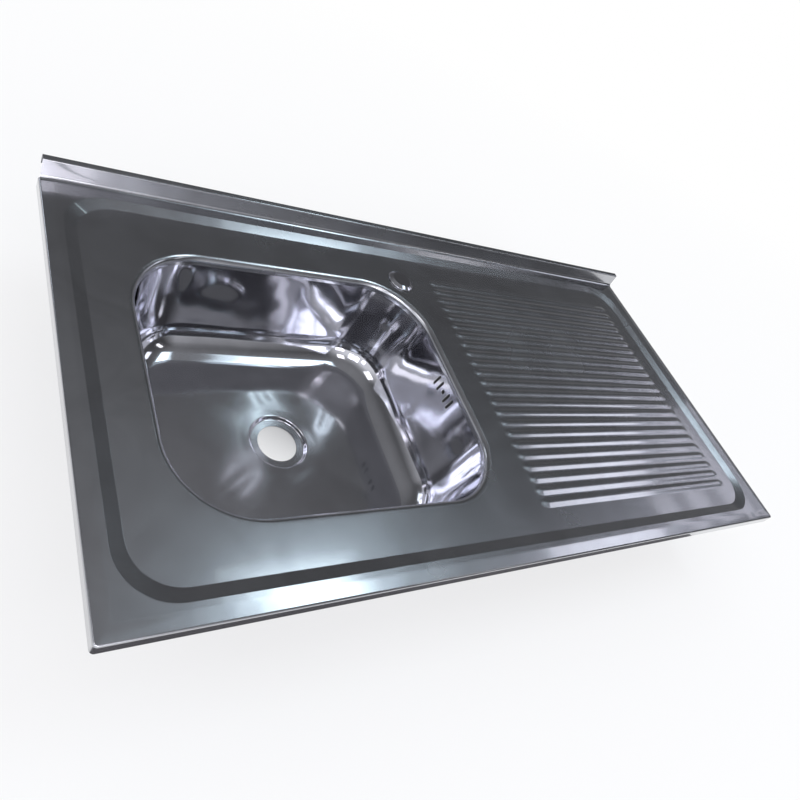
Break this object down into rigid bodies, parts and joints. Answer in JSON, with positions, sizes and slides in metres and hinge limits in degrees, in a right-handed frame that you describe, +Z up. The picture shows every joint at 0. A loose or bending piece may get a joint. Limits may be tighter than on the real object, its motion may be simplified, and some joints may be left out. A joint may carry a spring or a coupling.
{
  "type": "lay-on kitchen sink",
  "caption": "Stainless steel lay-on kitchen sink with a rounded bowl on the left, a ribbed drainer on the right, a raised border and a low upstand along the back.",
  "frame": {"origin": "centre of the waste hole, on the seat of the waste recess", "axes": "+X runs right along the sink towards the drainer, +Y runs back towards the wall, +Z is up"},
  "size_m": [1, 0.511, 0.1654],
  "materials": {
    "satin_steel": "fine satin rolled stainless steel, softly reflecting",
    "polished_steel": "brightly polished drawn stainless steel",
    "plain_steel": "plain mill-finish sheet, dull",
    "zinc_plate": "bright zinc-plated steel",
    "brass": "plain turned brass",
    "seal_rubber": "black rubber, matt",
    "sound_pad": "dark grey bitumen sheet, matt with a fine grain"
  },
  "bodies": {
    "sink": {"sink_top": "satin_steel", "bowl": "polished_steel", "bowl_sound_pad": "sound_pad", "drainer_sound_pad": "sound_pad", "front_channel": "plain_steel", "left_channel": "plain_steel", "right_channel": "plain_steel", "drainer_channel_left": "plain_steel", "drainer_channel_right": "plain_steel", "rear_rail": "plain_steel", "bracket_studs": "zinc_plate", "bracket_washers": "zinc_plate", "bracket_lock_nuts": "zinc_plate", "tap_hole_cap": "polished_steel", "cap_seal": "seal_rubber", "earth_tag": "plain_steel", "earth_screw": "brass", "earth_nut": "brass"},
    "swing_front_left": {"bracket_front_left": "zinc_plate"},
    "swing_rear_left": {"bracket_rear_left": "zinc_plate"},
    "swing_front_right": {"bracket_front_right": "zinc_plate"},
    "swing_rear_right": {"bracket_rear_right": "zinc_plate"},
    "clamp_bar": {"cap_clamp_bar": "zinc_plate"},
    "wing_nut": {"cap_wing_nut": "brass"}
  },
  "joints": [
    {"name": "bracket_front_left_swivel", "type": "hinge", "parent": "sink", "child": "swing_front_left", "pos_m": [-0.215, -0.139, 0.1265], "axis": [0, 0, 1], "range_deg": [-90, 90]},
    {"name": "bracket_rear_left_swivel", "type": "hinge", "parent": "sink", "child": "swing_rear_left", "pos_m": [-0.215, 0.121, 0.1265], "axis": [0, 0, 1], "range_deg": [-90, 90]},
    {"name": "bracket_front_right_swivel", "type": "hinge", "parent": "sink", "child": "swing_front_right", "pos_m": [0.673, -0.139, 0.1265], "axis": [0, 0, 1], "range_deg": [-90, 90]},
    {"name": "bracket_rear_right_swivel", "type": "hinge", "parent": "sink", "child": "swing_rear_right", "pos_m": [0.673, 0.121, 0.1265], "axis": [0, 0, 1], "range_deg": [-90, 90]},
    {"name": "cap_bar_drop", "type": "slide", "parent": "sink", "child": "clamp_bar", "axis": [0, 0, -1], "range_m": [0, 0.008]},
    {"name": "cap_nut_spin", "type": "hinge", "parent": "clamp_bar", "child": "wing_nut", "pos_m": [0.183, 0.175, 0.1327], "axis": [0, 0, -1], "range_deg": [0, 2880]}
  ],
  "couplings": [
    {"joint": "cap_bar_drop", "follows": "cap_nut_spin", "m_per_rad": 0.000159}
  ]
}
